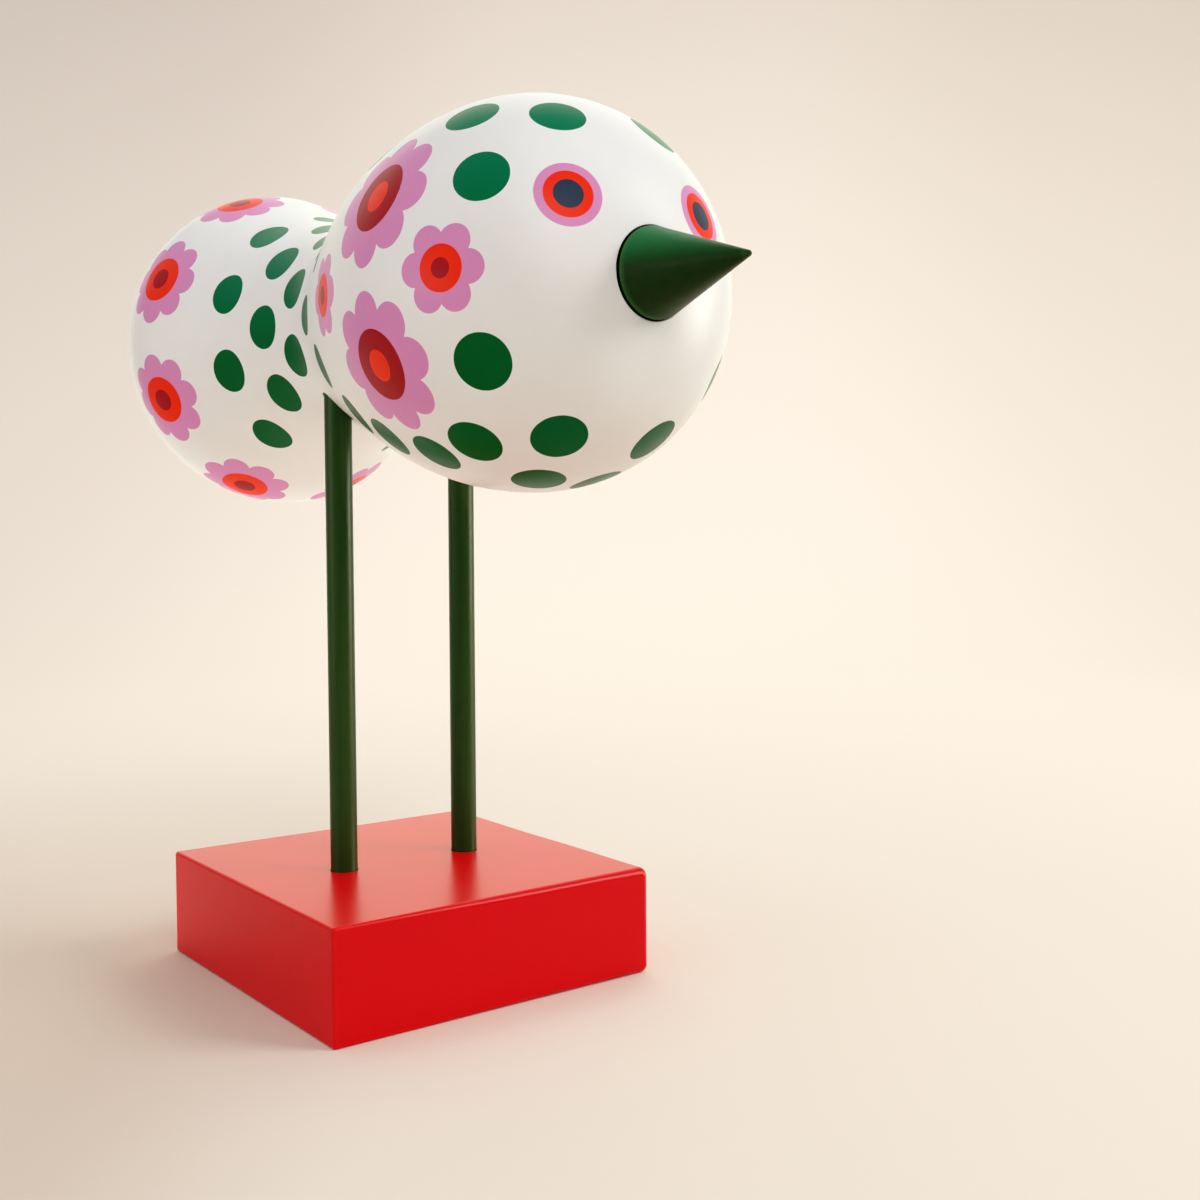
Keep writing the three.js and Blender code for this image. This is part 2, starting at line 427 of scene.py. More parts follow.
# ---- legs ---------------------------------------------------------------------------------
def make_leg(name, x):
    shell = Shell()
    low, high = PLINTH[2] - LEG_SUNK, LEG_TOP_Z
    edge = 0.5
    corners = [(0, low), (2.4, low), (LEG_R - edge, low), (LEG_R, low + edge), (LEG_R, high - edge), (LEG_R - edge, high), (2.4, high), (0, high)]
    line, normals = rounded_line(corners, [0, 0, 0.2, 0.3, 0.3, 0.2, 0, 0], steps=3)
    # more rows along the straight part
    rows_p, rows_n = [], []
    for i in range(len(line)):
        rows_p.append(line[i])
        rows_n.append(normals[i])
        if i + 1 < len(line) and np.linalg.norm(line[i + 1] - line[i]) > 50:
            for t in np.linspace(0, 1, 57)[1:-1]:
                rows_p.append(line[i] + (line[i + 1] - line[i]) * t)
                rows_n.append(normals[i])
    profile, normals = np.array(rows_p), np.array(rows_n)
    # a radius of 0 at both ends needs upward and downward normals
    length_at = np.concatenate([[0], np.cumsum(np.linalg.norm(np.diff(profile, axis=0), axis=1))])
    v_of = 0.01 + 0.98 * length_at / length_at[-1]

    def place(r, h, a):
        return (x + r * math.sin(a), r * math.cos(a), h)

    turn(shell, profile, normals, 72, place, np.array([0.0, 0.0, 1.0]), v_of)
    return shell.build(name)


# ---- plinth -------------------------------------------------------------------------------
WAVES = [  # shallow unevenness of the sanded faces: amplitude, wave vector per mm, phase
    (0.020, (0.052, 0.031, 0.060), 0.4),
    (0.016, (-0.038, 0.067, 0.085), 1.9),
    (0.010, (0.093, -0.058, 0.040), 3.1),
    (0.007, (0.120, 0.110, -0.130), 5.2),
]
WAVE_SUM = sum(w[0] for w in WAVES)


def dip(p):
    """How far the block's skin lies below its nominal faces at p, and the gradient of that."""
    total, grad = WAVE_SUM, np.zeros(3)
    for amount, k, phase in WAVES:
        k = np.array(k)
        total += amount * math.sin(k @ p + phase)
        grad += amount * k * math.cos(k @ p + phase)
    fade = min(max(p[2] / 5.0, 0.0), 1.0)  # the underside stays flat
    return total * fade, grad * fade


def make_plinth():
    shell = Shell()
    half = np.array(PLINTH) / 2
    centre = np.array([0, 0, half[2]])

    def soft(x, y, z):
        """Rounding of the edges, sharper towards one side as the block was sanded by hand."""
        corner = {(-1, -1): 0.85, (-1, 1): 1.0, (1, -1): 2.4, (1, 1): 2.2}
        u, v = (x + 1) / 2, (y + 1) / 2
        r = ((1 - u) * (1 - v) * corner[(-1, -1)] + (1 - u) * v * corner[(-1, 1)]
             + u * (1 - v) * corner[(1, -1)] + u * v * corner[(1, 1)])
        r *= 1.0 + 0.08 * math.sin(5.1 * x + 1.3) + 0.07 * math.sin(6.3 * y + 0.4)
        return r * (0.86 + 0.14 * (z + 1) / 2)

    bands = 6
    codes = []
    for axis in range(3):
        inner = half[axis] - 2.9
        cells = {0: 36, 1: 38, 2: 10}[axis]
        row = [(-1, math.tan(math.pi / 4 * (1 - i / bands)), None) for i in range(bands)]
        row += [(-1, 0.0, None)]
        row += [(0, 0.0, c) for c in np.linspace(-inner, inner, cells + 1)]
        row += [(1, 0.0, None)]
        row += [(1, math.tan(math.pi / 4 * (i + 1) / bands), None) for i in range(bands)]
        codes.append(row)

    def point(code):
        hat = [c[0] if c[0] else c[2] / half[k] for k, c in enumerate(code)]
        r = soft(*hat)
        t = np.array([c[1] for c in code])
        long = math.sqrt(float((t * t).sum()))
        p, n = np.zeros(3), np.zeros(3)
        for k, c in enumerate(code):
            if c[0] == 0:
                p[k] = c[2]
            else:
                p[k] = c[0] * (half[k] - r) + c[0] * r * t[k] / long
                n[k] = c[0] * t[k] / long
        p = p + centre
        d, grad = dip(p)
        n2 = n + (grad - n * (grad @ n))
        n2 /= np.linalg.norm(n2)
        return p - n * d, n2

    index = {}

    def vertex(code, key):
        if key not in index:
            p, n = point(code)
            index[key] = int(shell.add([p], [n])[0])
        return index[key]

    # six faces laid out side by side on the map
    boxes = {(2, 1): (0.01, 0.01, 0.36, 0.49), (2, -1): (0.38, 0.01, 0.73, 0.49),
             (1, -1): (0.01, 0.52, 0.49, 0.66), (1, 1): (0.51, 0.52, 0.99, 0.66),
             (0, -1): (0.01, 0.69, 0.49, 0.83), (0, 1): (0.51, 0.69, 0.99, 0.83)}
    boxes = {k: (x0, y0, x1, y1) for k, (x0, y0, x1, y1) in boxes.items()}
    # the top's and underside's boxes grow to fill the free space
    boxes[(2, 1)], boxes[(2, -1)] = (0.01, 0.01, 0.485, 0.50), (0.515, 0.01, 0.99, 0.50)
    boxes[(0, -1)], boxes[(0, 1)] = (0.01, 0.75, 0.49, 0.95), (0.51, 0.75, 0.99, 0.95)
    boxes[(1, -1)], boxes[(1, 1)] = (0.01, 0.53, 0.49, 0.72), (0.51, 0.53, 0.99, 0.72)

    def where(face, p):
        axis, sign = face
        a, b = [k for k in range(3) if k != axis]
        x0, y0, x1, y1 = boxes[face]
        fa = (p[a] - (centre[a] - half[a])) / (2 * half[a])
        fb = (p[b] - (centre[b] - half[b])) / (2 * half[b])
        return (x0 + (x1 - x0) * fa, y0 + (y1 - y0) * fb)

    for axis in range(3):
        a, b = [k for k in range(3) if k != axis]
        for sign in (-1, 1):
            grid = {}
            last = 0 if sign < 0 else len(codes[axis]) - 1
            for i in range(len(codes[a])):
                for j in range(len(codes[b])):
                    code, key = [None] * 3, [0] * 3
                    code[axis], code[a], code[b] = codes[axis][last], codes[a][i], codes[b][j]
                    key[axis], key[a], key[b] = last, i, j
                    grid[i, j] = vertex(code, tuple(key))
            for i in range(len(codes[a]) - 1):
                for j in range(len(codes[b]) - 1):
                    ids = [grid[i, j], grid[i + 1, j], grid[i + 1, j + 1], grid[i, j + 1]]
                    shell.face(ids, [where((axis, sign), shell.points[k]) for k in ids])

    def surface(x, y):
        p = np.array([x, y, PLINTH[2]])
        d, grad = dip(p)
        n = np.array([grad[0], grad[1], 1.0])
        return PLINTH[2] - d, n / np.linalg.norm(n)

    for n, side in enumerate((-1, 1)):
        punch(shell, side * LEG_X, 0.0, surface, lambda p: where((2, 1), p),
              lambda u, v, n=n: (0.02 + 0.5 * n + 0.44 * u, 0.965 + 0.03 * v),
              PLINTH[2] - LEG_SUNK - FIT, 8.2, 6.6, 0.3,
              lambda p: p[:, 2] > PLINTH[2] - 1.0, down=False)
    return shell.build("plinth_block")


# ---- materials as expressions -------------------------------------------------------------
def colour(r, g, b):
    """An 8-bit screen colour as a linear one."""
    def lin(c):
        c /= 255.0
        return c / 12.92 if c <= 0.04045 else ((c + 0.055) / 1.055) ** 2.4
    return (lin(r), lin(g), lin(b), 1.0)


class Val:
    """A socket that can be added, multiplied and so on."""

    def __init__(self, graph, socket):
        self.g, self.s = graph, socket

    def __add__(self, o): return self.g.math("ADD", self, o)
    def __radd__(self, o): return self.g.math("ADD", o, self)
    def __sub__(self, o): return self.g.math("SUBTRACT", self, o)
    def __rsub__(self, o): return self.g.math("SUBTRACT", o, self)
    def __mul__(self, o): return self.g.math("MULTIPLY", self, o)
    def __rmul__(self, o): return self.g.math("MULTIPLY", o, self)
    def __truediv__(self, o): return self.g.math("DIVIDE", self, o)


class Graph:
    def __init__(self, name):
        self.material = bpy.data.materials.new(name)
        self.material.use_nodes = True
        self.tree = self.material.node_tree
        self.tree.nodes.clear()
        self.out = self.tree.nodes.new("ShaderNodeOutputMaterial")
        self.bsdf = self.tree.nodes.new("ShaderNodeBsdfPrincipled")
        self.tree.links.new(self.bsdf.outputs["BSDF"], self.out.inputs["Surface"])
        coordinates = self.tree.nodes.new("ShaderNodeTexCoord")
        self.metres = Val(self, coordinates.outputs["Object"])
        self.mm = self.vec("SCALE", self.metres, scale=1000.0)

    def put(self, socket, value):
        if isinstance(value, Val):
            self.tree.links.new(value.s, socket)
        else:
            socket.default_value = value

    def math(self, kind, *values, clamp=False):
        node = self.tree.nodes.new("ShaderNodeMath")
        node.operation = kind
        node.use_clamp = clamp
        for socket, value in zip(node.inputs, values):
            self.put(socket, value)
        return Val(self, node.outputs[0])

    def vec(self, kind, *values, scale=None):
        node = self.tree.nodes.new("ShaderNodeVectorMath")
        node.operation = kind
        for socket, value in zip(node.inputs, values):
            self.put(socket, value)
        if scale is not None:
            node.inputs["Scale"].default_value = scale
        plain = kind in ("LENGTH", "DISTANCE", "DOT_PRODUCT")
        return Val(self, node.outputs["Value" if plain else "Vector"])

    def split(self, v):
        node = self.tree.nodes.new("ShaderNodeSeparateXYZ")
        self.put(node.inputs[0], v)
        return [Val(self, o) for o in node.outputs]

    def join(self, x, y, z):
        node = self.tree.nodes.new("ShaderNodeCombineXYZ")
        for socket, value in zip(node.inputs, (x, y, z)):
            self.put(socket, value)
        return Val(self, node.outputs[0])

    def mix(self, share, a, b):
        node = self.tree.nodes.new("ShaderNodeMix")
        node.data_type = "RGBA"
        self.put(node.inputs["Factor"], share)
        self.put(node.inputs[6], a)
        self.put(node.inputs[7], b)
        return Val(self, node.outputs[2])

    def noise(self, where, scale, detail=2.0, rough=0.5, twist=0.0):
        node = self.tree.nodes.new("ShaderNodeTexNoise")
        self.put(node.inputs["Vector"], where)
        node.inputs["Scale"].default_value = scale
        node.inputs["Detail"].default_value = detail
        node.inputs["Roughness"].default_value = rough
        node.inputs["Distortion"].default_value = twist
        return Val(self, node.outputs["Fac"])

    def cells(self, where, scale, randomness=1.0):
        node = self.tree.nodes.new("ShaderNodeTexVoronoi")
        self.put(node.inputs["Vector"], where)
        node.inputs["Scale"].default_value = scale
        node.inputs["Randomness"].default_value = randomness
        return Val(self, node.outputs["Distance"])

    def span(self, value, a, b, lo=0.0, hi=1.0, smooth=False):
        """value from a..b carried to lo..hi and held there."""
        node = self.tree.nodes.new("ShaderNodeMapRange")
        node.clamp = True
        node.interpolation_type = "SMOOTHSTEP" if smooth else "LINEAR"
        self.put(node.inputs["Value"], value)
        node.inputs["From Min"].default_value = a
        node.inputs["From Max"].default_value = b
        node.inputs["To Min"].default_value = lo
        node.inputs["To Max"].default_value = hi
        return Val(self, node.outputs["Result"])

    def bump(self, height_mm, strength=1.0, onto=None):
        node = self.tree.nodes.new("ShaderNodeBump")
        node.inputs["Strength"].default_value = strength
        node.inputs["Distance"].default_value = MM
        self.put(node.inputs["Height"], height_mm)
        if onto is not None:
            self.put(node.inputs["Normal"], onto)
        return Val(self, node.outputs["Normal"])

    def finish(self, base, roughness, normal, **sockets):
        self.put(self.bsdf.inputs["Base Color"], base)
        self.put(self.bsdf.inputs["Roughness"], roughness)
        if normal is not None:
            self.put(self.bsdf.inputs["Normal"], normal)
        for name, value in sockets.items():
            self.bsdf.inputs[name.replace("_", " ")].default_value = value
        return self.material


GREEN_DOTS = [  # s, angle up or down from level, radius: on both sides, above and below
    (-29.6, 30.8, 6.65), (-30.6, 69.0, 6.65), (-15.6, 53.7, 6.65),
    (17.5, 48.0, 6.3), (33.0, 41.5, 6.2), (47.0, 23.3, 6.0),
]
TOP_DOTS = [  # only above: the belly round the legs is plain
    (3.5, 65.5, 6.2),
    (-6.0, 79.5, 6.4), (9.5, 90.0, 6.2), (17.5, 75.0, 6.1), (31.0, 65.0, 6.0), (31.0, 90.0, 6.0),
    (45.0, 50.0, 5.7), (45.0, 77.0, 5.7),
]
LOW_DOTS = [(-14.6, 79.3, 6.6), (0.5, 54.4, 6.5)]  # only below
GREEN_RINGS = [  # s, first angle, spacing, radius, how far from straight down the ring begins
    (107.0, 18.0, 36.0, 6.25, 20.0), (89.0, 0.0, 36.0, 6.2, 40.0), (74.4, 18.0, 36.0, 6.0, 60.0),
    (59.5, 0.0, 36.0, 5.4, 66.0), (159.0, 0.0, 45.0, 5.0, 0.0),
]
EYES = [(-19.8, 16.0, -42.5), (17.7, 15.5, -43.5)]  # x, up from the axis, s: the two aren't quite alike

WHITE = colour(238, 236, 232)
# painted light: the dot green is lighter and bluer towards the top of the body and darker below, as the light falls
TOP_LIT_GREEN = colour(0, 120, 78)        # towards the top of the body
SHADED_GREEN = colour(0, 92, 40)
PINK = colour(219, 144, 192)
DEEP_RED = colour(166, 8, 26)
ORANGE = colour(244, 48, 4)
NAVY = colour(50, 58, 80)


def body_material():
    g = Graph("satin_glaze_with_print")
    x, y, z = g.split(g.mm)
    up = z - AXIS_Z
    s = y - HEAD_Y
    ax, au = g.math("ABSOLUTE", x), g.math("ABSOLUTE", up)
    r = g.math("SQRT", x * x + up * up)
    theta = g.math("ARCTAN2", up, x)
    folded = g.join(ax, s, au)
    sided = g.join(ax, s, up)
    wobble = (g.noise(g.mm, 0.45, 1.0) - 0.5) * 0.10  # the print's edges are a little uneven

    def most(values):
        total = values[0]
        for v in values[1:]:
            total = g.math("MAXIMUM", total, v)
        return total

    def inside(depth, soft=0.10):
        """1 where a signed depth in mm is positive, with an edge as fine as ink."""
        return g.span(depth, -soft / 2, soft / 2)

    # polka dots
    depths = []
    for at, angle, size in GREEN_DOTS:
        rr, _ = radius_at(at)
        a = math.radians(angle)
        d = g.vec("DISTANCE", folded, (rr * math.cos(a), at, rr * math.sin(a)))
        depths.append(size - d)
    for some, side in ((TOP_DOTS, 1), (LOW_DOTS, -1)):
        for at, angle, size in some:
            rr, _ = radius_at(at)
            a = math.radians(angle)
            d = g.vec("DISTANCE", sided, (rr * math.cos(a), at, side * rr * math.sin(a)))
            depths.append(size - d)
    down = g.math("ABSOLUTE", g.math("ARCTAN2", x, 0.0 - up))  # angle from straight down
    for at, offset, pitch, size, clear in GREEN_RINGS:
        rr, _ = radius_at(at)
        turn_by = g.math("PINGPONG", theta - math.radians(offset), math.radians(pitch / 2))
        ds = s - at
        d2 = ds * ds + r * r + rr * rr - (2 * rr) * (r * g.math("COSINE", turn_by))
        depth = size - g.math("SQRT", g.math("MAXIMUM", d2, 0.0))
        if clear:
            depth = g.math("MINIMUM", depth, (down - math.radians(clear)) * 100.0)
        depths.append(depth)
    # the print runs a touch larger below than above
    dots = most(depths) + wobble + g.span(up, -6.0, 6.0, 0.10, -0.10)

    # blossoms: round petals about a disc with a heart
    def blossom(out, across, at, rr, grade, petals, ring, lobe, disc, heart):
        """out: along the radius at its centre, across: round the body, at: its station."""
        n = math.hypot(grade, 1.0)
        do, ds = out - rr, s - at
        back = do * (grade / n) + ds * (1.0 / n)
        rho2 = do * do + ds * ds + across * across
        rho = g.math("SQRT", rho2)
        phi = g.math("PINGPONG", g.math("ARCTAN2", across, back), math.pi / petals)
        d2 = rho2 + ring * ring - (2 * ring) * (rho * g.math("COSINE", phi))
        petal = g.math("MAXIMUM", lobe - g.math("SQRT", g.math("MAXIMUM", d2, 0.0)), ring - rho)
        return petal, disc - rho, heart - rho

    kinds = {"large": [], "small": [], "rear": []}
    for at, angle, kind in ((-1.5, 23.6, "large"), (-25.5, 0.0, "small"), (25.5, 0.0, "small")):
        rr, grade = radius_at(at)
        a = math.radians(angle)
        out = ax * math.cos(a) + au * math.sin(a)
        across = au * math.cos(a) - ax * math.sin(a)
        if kind == "large":
            kinds[kind].append(blossom(out, across, at, rr, grade, 8, 12.1, 5.1, 8.7, 3.9))
        else:
            kinds[kind].append(blossom(out, across, at, rr, grade, 6, 6.6, 3.9, 5.3, 2.3))
    at = 135.0
    rr, grade = radius_at(at)
    fold = g.math("PINGPONG", theta - math.radians(22.5), math.radians(22.5))
    kinds["rear"].append(blossom(r * g.math("COSINE", fold), r * g.math("SINE", fold), at, rr, grade, 8, 9.9, 4.2, 7.2, 3.3))
    # one at the very back
    ring, lobe = 10.4, 4.4
    phi = g.math("PINGPONG", theta, math.pi / 8)
    back = g.math("GREATER_THAN", s, 150.0)
    far = (1.0 - back) * 100.0
    d2 = r * r + ring * ring - (2 * ring) * (r * g.math("COSINE", phi))
    kinds["rear"].append((g.math("MAXIMUM", lobe - g.math("SQRT", g.math("MAXIMUM", d2, 0.0)), ring - r) - far,
                          7.6 - r - far, 3.5 - r - far))

    def part(kind, n):
        return most([b[n] for b in kinds[kind]]) + wobble

    # ringed eyes
    plain = g.join(x, s, up)
    eye = most([0.0 - g.vec("DISTANCE", plain, (e[0], e[2], e[1])) for e in EYES]) + wobble * 0.5

    # glaze: faint cloudiness and a few fine specks
    cloud = g.noise(g.mm, 0.035, 3.0, 0.55)
    fine = g.noise(g.mm, 0.9, 2.0, 0.6)
    base = g.mix(g.span(cloud, 0.3, 0.7), colour(241, 241, 239), colour(237, 235, 231))
    speck = g.span(g.cells(g.mm, 0.16), 0.035, 0.02)
    speck = speck * g.span(g.noise(g.mm, 0.05, 0.0), 0.52, 0.6)
    base = g.mix(speck * 0.5, base, colour(178, 166, 150))

    ink = g.span(fine, 0.25, 0.75, 0.0, 1.0)
    shade = g.span(cloud, 0.25, 0.75, 0.0, 1.0)

    def tone(c, spread=0.07):
        """An ink with slight clouding."""
        dark = tuple(v * (1 - spread) for v in c[:3]) + (1.0,)
        light = tuple(min(1.0, v * (1 + spread) + 0.002) for v in c[:3]) + (1.0,)
        return g.mix(ink * 0.4 + shade * 0.6, dark, light)

    pink, deep, orange, navy = tone(PINK, 0.03), tone(DEEP_RED), tone(ORANGE, 0.04), tone(NAVY, 0.1)
    # painted light and shade: the dots lighter towards the top, darker towards the underside
    green = g.mix(g.span(up, -10.0, 28.0), tone(SHADED_GREEN), tone(TOP_LIT_GREEN))
    petal_all = most([part("large", 0), part("small", 0), part("rear", 0)])
    base = g.mix(inside(petal_all), base, pink)
    base = g.mix(inside(part("large", 1)), base, deep)
    base = g.mix(inside(part("large", 2)), base, orange)
    base = g.mix(inside(most([part("small", 1), part("rear", 1)])), base, orange)
    base = g.mix(inside(most([part("small", 2), part("rear", 2)])), base, deep)
    base = g.mix(inside(dots), base, green)
    base = g.mix(inside(eye + 7.75), base, pink)
    base = g.mix(inside(eye + 5.7), base, orange)
    base = g.mix(inside(eye + 3.5), base, navy)

    printed = most([petal_all, dots, eye + 7.75])
    # the glaze has a fine orange peel; the ink is too thin to show any relief
    height = g.noise(g.mm, 0.7, 2.0, 0.55) * 0.010 + g.noise(g.mm, 0.16, 1.0) * 0.02
    normal = g.bump(height)
    rough = g.span(g.noise(g.mm, 0.12, 3.0, 0.6), 0.3, 0.7, 0.33, 0.40) - g.span(printed, 0.0, 0.1) * 0.03
    # painted shade: the sockets' walls are darkened, and the seat behind the beak is near-black, where shade falls in
    # these recesses
    socket_shade = g.math("MULTIPLY", g.span(g.math("SQRT", (ax - LEG_X) * (ax - LEG_X) + y * y), HOLE_R + 0.35, HOLE_R + 0.15),
                  g.span(up, -2.0, -4.0))
    base = g.mix(socket_shade, base, colour(120, 108, 96))
    # painted shade: near-black in the groove round the beak's seat
    seat = g.span(r, BEAK_R + 0.30, BEAK_R + 0.12) * g.span(s, -40.0, -42.0)
    base = g.mix(seat, base, colour(40, 36, 30))
    return g.finish(base, rough, normal, IOR=1.5, Specular_IOR_Level=0.22)


def green_paint(name, along, gloss, rough_from, relief):
    """Satin green paint on wood; along is the axis of the grain."""
    g = Graph(name)
    x, y, z = g.split(g.mm)
    if along == "y":
        stretched = g.join(x, y * 0.08, z)
    else:
        stretched = g.join(x, y, z * 0.05)
    grain = g.noise(stretched, 0.9, 3.0, 0.6)
    patch = g.noise(g.mm, 0.06, 2.0)
    base = g.mix(g.span(grain, 0.3, 0.7), colour(50, 67, 22), colour(56, 76, 26))
    base = g.mix(g.span(patch, 0.35, 0.7) * 0.5, base, colour(51, 72, 21))
    if along == "y":
        # painted highlight: a darker green all over, and a lighter, bluer green on the upper side, where the light
        # falls from above
        base = g.mix(0.6, base, colour(38, 44, 13))
        base = g.mix(g.span(z, AXIS_Z - 1.0, AXIS_Z + 8.0, smooth=True), base, colour(48, 118, 66))
    if along == "y":
        # paint thins on the rim of the root and at the point
        rim = g.span(g.math("SQRT", x * x + (z - AXIS_Z) * (z - AXIS_Z)), 10.0, 10.35) * 0.45
        tip = g.span(y, -143.8, -145.8) * g.span(g.noise(g.mm, 0.8, 2.0), 0.4, 0.6) * 0.5
        worn = g.math("MAXIMUM", rim, tip)
    else:
        worn = g.span(g.noise(g.mm, 0.22, 4.0, 0.7), 0.66, 0.74) * 0.25
    base = g.mix(worn, base, colour(80, 118, 62))
    peel = g.noise(g.mm, 0.8, 2.0, 0.5)
    height = (grain + peel) * relief
    if along == "y":
        # the faintest turning rings
        height = height + g.math("SINE", y * 5.5 + patch * 6.0) * 0.0012
    rough = g.span(g.noise(g.mm, 0.25, 3.0, 0.6), 0.3, 0.7, rough_from, rough_from + 0.10)
    return g.finish(base, rough, g.bump(height), IOR=1.5, Specular_IOR_Level=gloss)


def red_paint():
    g = Graph("satin_red_paint")
    x, y, z = g.split(g.mm)
    # distance to the nearest edge of the block, from the two smallest gaps to its faces
    gx = (PLINTH[0] / 2) - g.math("ABSOLUTE", x)
    gy = (PLINTH[1] / 2) - g.math("ABSOLUTE", y)
    gz = (PLINTH[2] / 2) - g.math("ABSOLUTE", z - PLINTH[2] / 2)
    low = g.math("MINIMUM", g.math("MINIMUM", g.math("MAXIMUM", gx, gy), g.math("MAXIMUM", gy, gz)), g.math("MAXIMUM", gx, gz))
    edge = g.span(low, 1.5, 0.3, smooth=True)
    worn = edge * g.span(g.noise(g.mm, 0.30, 4.0, 0.65), 0.50, 0.72)
    base = g.mix(edge * 0.22, colour(211, 2, 18), colour(230, 34, 30))
    base = g.mix(worn * 0.12, base, colour(232, 80, 64))
    # painted shade: the red paint darkens just inside the two holes
    hole_shade = g.span(g.math("SQRT", (g.math("ABSOLUTE", x) - LEG_X) * (g.math("ABSOLUTE", x) - LEG_X) + y * y), HOLE_R + 0.30, HOLE_R + 0.10) * g.span(z, PLINTH[2] - 0.25, PLINTH[2] - 0.5)
    base = g.mix(hole_shade, base, colour(120, 30, 26))
    return g.finish(base, worn * 0.05 + 0.28, None, IOR=1.5, Specular_IOR_Level=0.22)


def stage_material():
    g = Graph("cream_backdrop")
    light = colour(232, 220, 206.5)
    x, y, z = g.split(g.metres)
    across = x * 0.795 - y * 0.607
    along = x * 0.606 + y * 0.795
    # painted shade: floor and wall darker towards the left of the view and a little darker again far to the right
    base = g.mix(g.span(across, -0.60, -0.05, smooth=True), colour(220, 208, 196), light)
    base = g.mix(g.span(across, 0.30, 0.75, smooth=True), base, colour(225, 213, 198))
    # painted shadow: a dimmer patch of floor on the figurine's shaded side
    patch = g.span(across, 0.015, -0.07, smooth=True) * g.span(across, -0.50, -0.20, smooth=True)
    patch = patch * g.span(along, 0.40, -0.05, smooth=True) * g.span(along, -0.50, -0.18, smooth=True)
    base = g.mix(patch, base, colour(210, 195, 181))
    return g.finish(base, 0.85, None, Specular_IOR_Level=0.1)


# ---- pieces -----------------------------------------------------------------------------------
body = make_body()
beak = make_beak()
legs = [make_leg("bird_leg_right", -LEG_X), make_leg("bird_leg_left", LEG_X)]
plinth = make_plinth()

body.data.materials.append(body_material())
beak.data.materials.append(green_paint("satin_green_beak", "y", 0.16, 0.36, 0.012))
leg_paint = green_paint("satin_green_legs", "z", 0.32, 0.32, 0.002)
for leg in legs:
    leg.data.materials.append(leg_paint)
plinth.data.materials.append(red_paint())

for piece, node, slot in ((body, "body", "body"), (beak, "beak", "beak"), (legs[0], "leg_right", "legs"),
                          (legs[1], "leg_left", "legs"), (plinth, "plinth", "plinth")):
    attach(piece, "root")
    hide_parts(node)

# ---- stage: a round cream floor that bends up into a wall ------------------------------------------
STAGE_FLAT, STAGE_BEND, STAGE_TOP = 0.80, 1.30, 1.75


def round_stage(name, path, material, steps=128):
    """A surface turned about the upright axis through (radius, height) points."""
    verts, faces, rows = [], [], []
    for r, h in path:
        if r < 1e-9:
            rows.append([len(verts)] * steps)
            verts.append((0.0, 0.0, h))
        else:
            rows.append([len(verts) + j for j in range(steps)])
            verts += [(r * math.cos(2 * math.pi * j / steps), r * math.sin(2 * math.pi * j / steps), h) for j in range(steps)]
    for low, high in zip(rows, rows[1:]):
        for j in range(steps):
            k = (j + 1) % steps
            faces.append((low[j], high[j], high[k]) if low[j] == low[k] else (low[j], high[j], high[k], low[k]))
    mesh = bpy.data.meshes.new(name)
    mesh.from_pydata(verts, [], faces)
    mesh.polygons.foreach_set("use_smooth", np.ones(len(faces), bool))
    mesh.update()
    stage = bpy.data.objects.new(name, mesh)
    bpy.context.scene.collection.objects.link(stage)
    mesh.materials.append(material)
    return stage


cream = stage_material()
floor = round_stage("studio_floor", [(r, 0.0) for r in np.linspace(0.0, STAGE_FLAT, 24)], cream)
bend = [(STAGE_FLAT + STAGE_BEND * math.sin(math.pi / 48 * i), STAGE_BEND * (1 - math.cos(math.pi / 48 * i))) for i in range(25)]
bend += [(STAGE_FLAT + STAGE_BEND, STAGE_BEND + (STAGE_TOP - STAGE_BEND) * i / 5) for i in range(1, 6)]
wall = round_stage("studio_wall", bend, cream)
# the wall is only there to be seen: the room's light comes from the world and the lamps
wall.visible_diffuse = wall.visible_glossy = wall.visible_shadow = False

# ---- light ---------------------------------------------------------------------------------------
GLOW = [  # direction, where the glow begins and is full (as cosines), strength, colour
    ((0.606, 0.795, 0.0), 0.45, 0.92, 1.50, (1.0, 1.0, 0.80)),   # the bright backdrop, as the figurine reflects it
    ((-0.9, 0.3, 0.2), 0.10, 0.95, 0.40, (1.0, 1.0, 1.0)),
    ((0.0, 0.0, 1.0), 0.15, 0.95, 0.52, (0.97, 0.99, 1.0)),
]


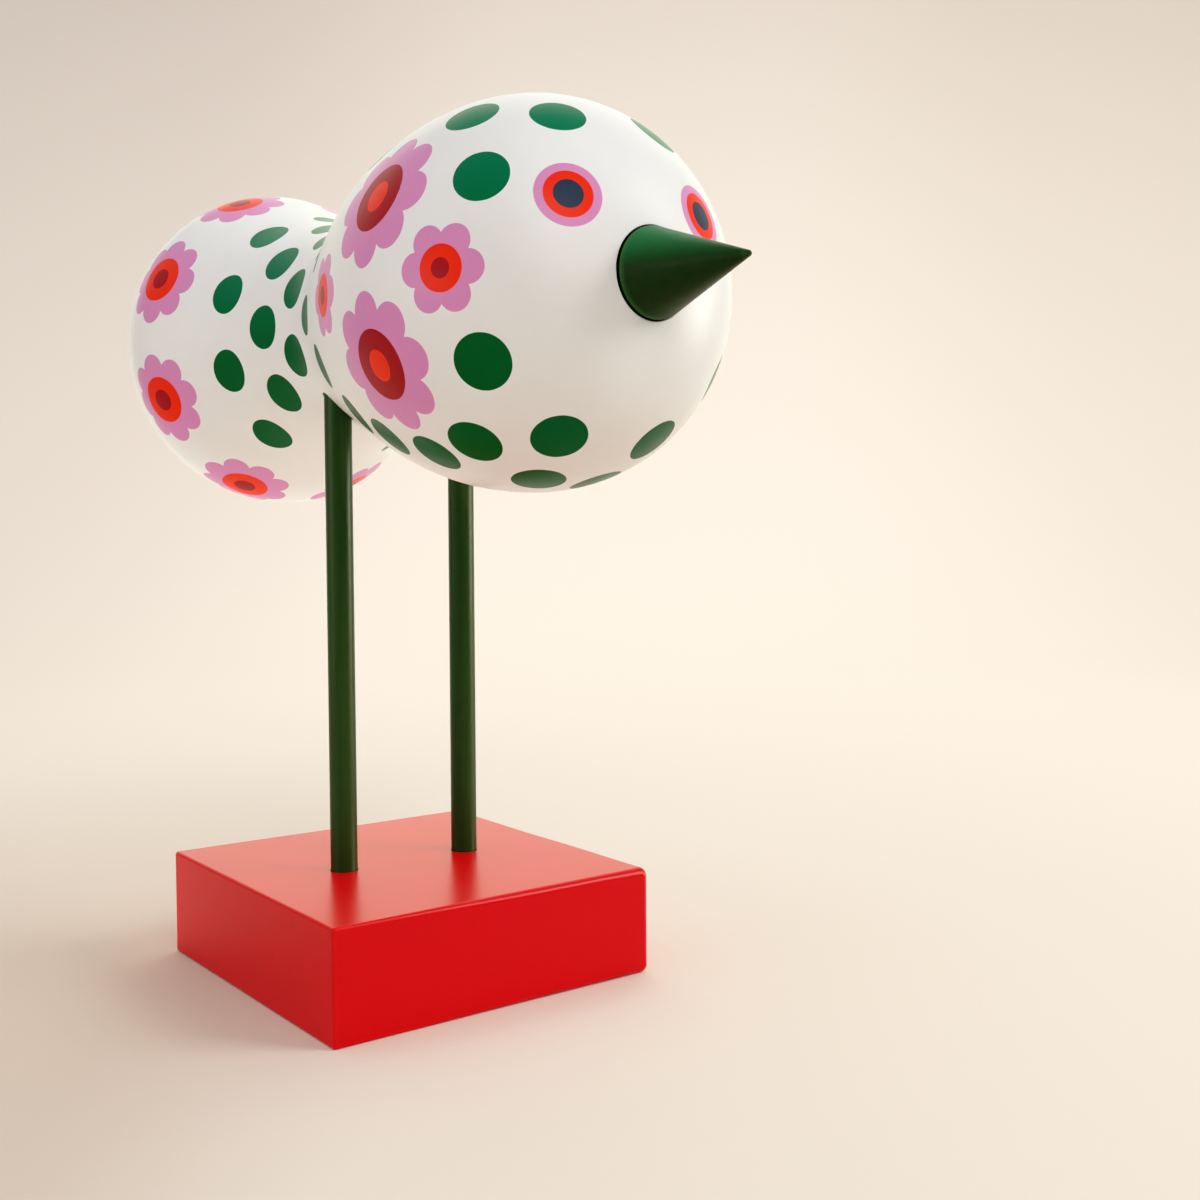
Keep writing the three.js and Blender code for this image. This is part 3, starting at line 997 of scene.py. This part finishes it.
def studio_world():
    """A room that glows behind the figurine, on its right-hand side and overhead."""
    world = bpy.data.worlds.new("studio")
    bpy.context.scene.world = world
    world.use_nodes = True
    tree = world.node_tree
    tree.nodes.clear()
    direction = tree.nodes.new("ShaderNodeTexCoord").outputs["Generated"]
    room = None
    for way, begins, full, strength, tint in GLOW:
        dot = tree.nodes.new("ShaderNodeVectorMath")
        dot.operation = "DOT_PRODUCT"
        tree.links.new(direction, dot.inputs[0])
        dot.inputs[1].default_value = way
        span = tree.nodes.new("ShaderNodeMapRange")
        span.interpolation_type = "SMOOTHSTEP"
        tree.links.new(dot.outputs["Value"], span.inputs["Value"])
        span.inputs["From Min"].default_value = begins
        span.inputs["From Max"].default_value = full
        span.inputs["To Max"].default_value = strength
        glow = tree.nodes.new("ShaderNodeBackground")
        glow.inputs["Color"].default_value = (*tint, 1.0)
        tree.links.new(span.outputs["Result"], glow.inputs["Strength"])
        if room is None:
            room = glow.outputs[0]
        else:
            both = tree.nodes.new("ShaderNodeAddShader")
            tree.links.new(room, both.inputs[0])
            tree.links.new(glow.outputs[0], both.inputs[1])
            room = both.outputs[0]
    seen = tree.nodes.new("ShaderNodeBackground")
    seen.inputs["Color"].default_value = (0.93, 0.85, 0.75, 1.0)
    ray = tree.nodes.new("ShaderNodeLightPath")
    mixed = tree.nodes.new("ShaderNodeMixShader")
    tree.links.new(ray.outputs["Is Camera Ray"], mixed.inputs[0])
    tree.links.new(room, mixed.inputs[1])
    tree.links.new(seen.outputs[0], mixed.inputs[2])
    tree.links.new(mixed.outputs[0], tree.nodes.new("ShaderNodeOutputWorld").inputs["Surface"])


studio_world()


def area(name, at_m, aim_m, size_m, watts, tint=(1.0, 1.0, 1.0)):
    data = bpy.data.lights.new(name, "AREA")
    data.shape = "RECTANGLE"
    data.size, data.size_y = size_m
    data.energy = watts
    data.color = tint
    light = bpy.data.objects.new(name, data)
    light.location = at_m
    light.rotation_mode = "QUATERNION"
    light.rotation_quaternion = (Vector(aim_m) - Vector(at_m)).to_track_quat("-Z", "Y")
    light.visible_camera = False
    bpy.context.scene.collection.objects.link(light)
    return light


area("key_right", (1.05, -1.05, 1.00), (0, -0.02, 0.14), (0.8, 0.8), 14.8)
area("front", (-0.45, -1.25, 0.95), (0, 0, 0.14), (0.9, 0.9), 6.5)
area("left_low", (-1.20, 0.15, 0.26), (0, 0, 0.13), (0.8, 0.40), 1.76)
area("wash_top", (0.55, 0.75, 1.10), (1.25, 1.60, 0.95), (1.4, 0.6), 2.2)
area("wash_middle", (0.12, 0.62, 1.20), (0.75, 1.65, 0.35), (1.2, 0.6), 6.0)
area("wash_low", (0.75, 0.45, 1.20), (1.0, 1.55, 0.15), (1.2, 0.6), 4.6)
# what a bright floor sends up to the rear's underside, and a panel for the sheen on the legs
area("bounce_back", (0.0, 0.17, 0.003), (0.0, 0.17, 1.0), (0.24, 0.24), 0.25, (0.80, 1.0, 0.92)).visible_glossy = False
area("strip_right", (1.07, -0.54, 0.26), (0, 0, 0.12), (0.55, 0.5), 8.0, (1.0, 0.98, 0.80)).visible_diffuse = False

# ---- camera ----------------------------------------------------------------------------------------
camera_data = bpy.data.cameras.new("camera")
camera_data.sensor_fit = "HORIZONTAL"
camera_data.sensor_width = 36.0
camera_data.lens = 1437.42 / 1200.0 * 36.0
camera_data.clip_start, camera_data.clip_end = 0.01, 20.0
camera = bpy.data.objects.new("camera", camera_data)
right = Vector((0.79489, -0.60674, -0.0031557)).normalized()
ahead = Vector((0.60552, 0.79361, -0.059346)).normalized()
above = right.cross(ahead).normalized()
right = ahead.cross(above)
turned = Matrix((right, above, -ahead)).transposed().to_4x4()
camera.matrix_world = Matrix.Translation((-0.20714, -0.36576, 0.13104)) @ turned
bpy.context.scene.collection.objects.link(camera)
bpy.context.scene.camera = camera

bpy.context.scene.view_settings.view_transform = "Standard"
bpy.context.scene.view_settings.look = "None"
# a print-like grade: deeper darks, highlights left alone
bpy.context.scene.view_settings.use_curve_mapping = True
grade = bpy.context.scene.view_settings.curve_mapping
for at, value in ((0.025, 0.012), (0.08, 0.065), (0.25, 0.24), (0.60, 0.61)):
    grade.curves[3].points.new(at, value)
for at, value in ((0.012, 0.004), (0.03, 0.020), (0.06, 0.055)):
    grade.curves[0].points.new(at, value)
grade.update()
